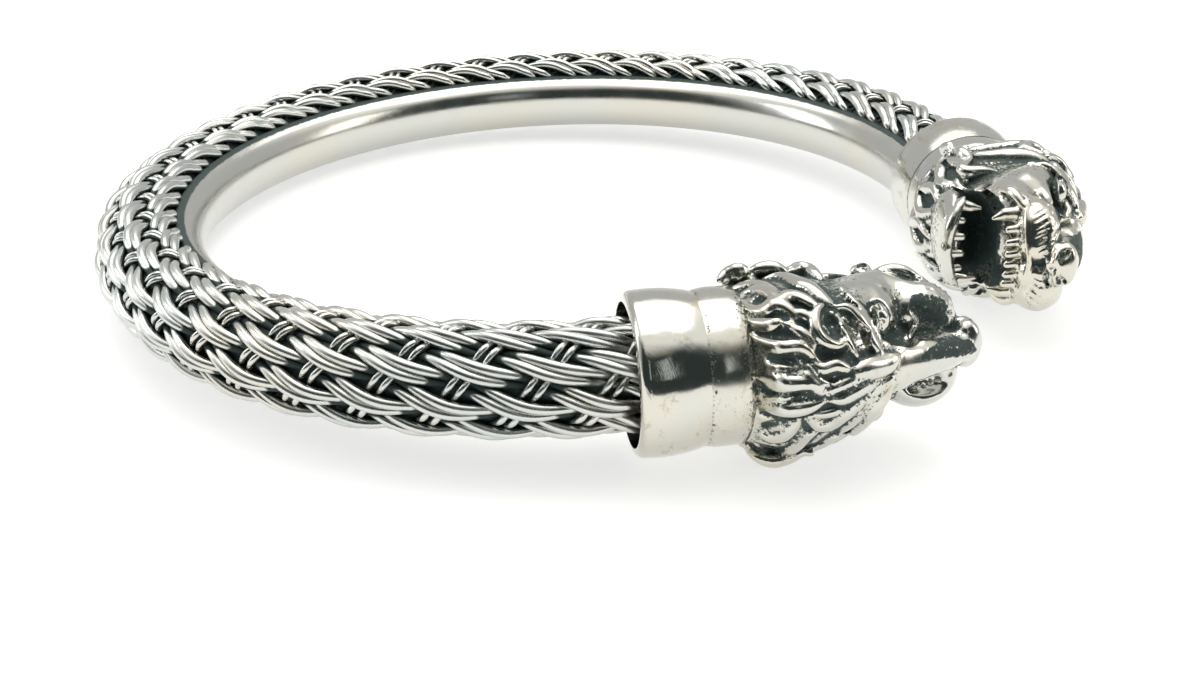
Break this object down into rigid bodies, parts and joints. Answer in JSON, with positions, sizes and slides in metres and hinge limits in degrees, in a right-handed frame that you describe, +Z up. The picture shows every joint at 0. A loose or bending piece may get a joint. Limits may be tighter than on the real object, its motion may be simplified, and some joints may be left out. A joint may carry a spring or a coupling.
{
  "type": "open cuff bracelet with lion head ends",
  "caption": "Open cuff bracelet: a braided wire sleeve over a smooth liner band, with a plain ferrule and an open-mouthed maned lion head on each end",
  "frame": {"origin": "on the table under the middle of the bounding box, with the cuff lying on its side", "axes": "+Z up from the table, +X from the back of the cuff to the opening between the heads, +Y towards the left head"},
  "size_m": [0.0816, 0.0774, 0.0127],
  "materials": {
    "polished_silver": "polished silver, fine scratches",
    "oxidised_braid": "polished silver wire over a blackened ground",
    "ferrule_silver": "polished silver with faint stains at the solder line",
    "cast_silver": "cast silver, blackened in the recesses and polished on the high parts"
  },
  "bodies": {
    "root": {"inner_band": "polished_silver", "woven_sleeve": "oxidised_braid", "ferrule_left": "ferrule_silver", "ferrule_right": "ferrule_silver", "lion_head_left": "cast_silver", "lion_head_right": "cast_silver"}
  },
  "joints": []
}
